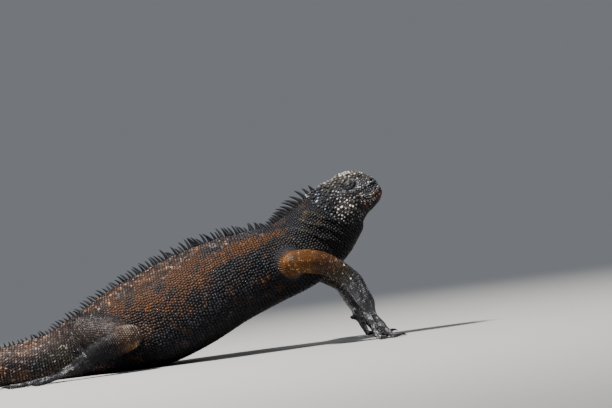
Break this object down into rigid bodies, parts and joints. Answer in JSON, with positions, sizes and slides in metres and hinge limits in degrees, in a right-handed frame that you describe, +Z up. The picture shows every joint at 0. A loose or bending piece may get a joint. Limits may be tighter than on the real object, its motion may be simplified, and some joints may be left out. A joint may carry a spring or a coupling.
{
  "type": "marine iguana",
  "caption": "Life-size still model of a basking marine iguana, chest raised on its forelegs, with a spiny crest from nape to tail and a long curving tail.",
  "frame": {"origin": "middle of the model's bounding box in plan, on the plane that the belly, tail, hands and feet rest on", "axes": "+X towards the snout, +Y to the animal's left, +Z up; the tail trails towards -X"},
  "size_m": [0.8362, 0.2434, 0.1698],
  "materials": {
    "head_skin": "satin",
    "body_skin": "matte",
    "tail_skin": "matte",
    "leg_skin": "satin",
    "horn": "satin",
    "eye": "gloss"
  },
  "bodies": {
    "root": {"head": "head_skin", "lower_jaw": "head_skin", "eye_left": "eye", "eye_right": "eye", "neck": "body_skin", "torso": "body_skin", "tail_root": "tail_skin", "tail_middle": "tail_skin", "tail_far": "tail_skin", "tail_end": "tail_skin", "fore_left_upper_arm": "leg_skin", "fore_left_forearm": "leg_skin", "fore_left_hand": "leg_skin", "fore_left_claw_1": "horn", "fore_left_claw_2": "horn", "fore_left_claw_3": "horn", "fore_left_claw_4": "horn", "fore_left_claw_5": "horn", "fore_right_upper_arm": "leg_skin", "fore_right_forearm": "leg_skin", "fore_right_hand": "leg_skin", "fore_right_claw_1": "horn", "fore_right_claw_2": "horn", "fore_right_claw_3": "horn", "fore_right_claw_4": "horn", "fore_right_claw_5": "horn", "hind_left_thigh": "leg_skin", "hind_left_shank": "leg_skin", "hind_left_foot": "leg_skin", "hind_left_claw_1": "horn", "hind_left_claw_2": "horn", "hind_left_claw_3": "horn", "hind_left_claw_4": "horn", "hind_left_claw_5": "horn", "hind_right_thigh": "leg_skin", "hind_right_shank": "leg_skin", "hind_right_foot": "leg_skin", "hind_right_claw_1": "horn", "hind_right_claw_2": "horn", "hind_right_claw_3": "horn", "hind_right_claw_4": "horn", "hind_right_claw_5": "horn"}
  },
  "joints": []
}
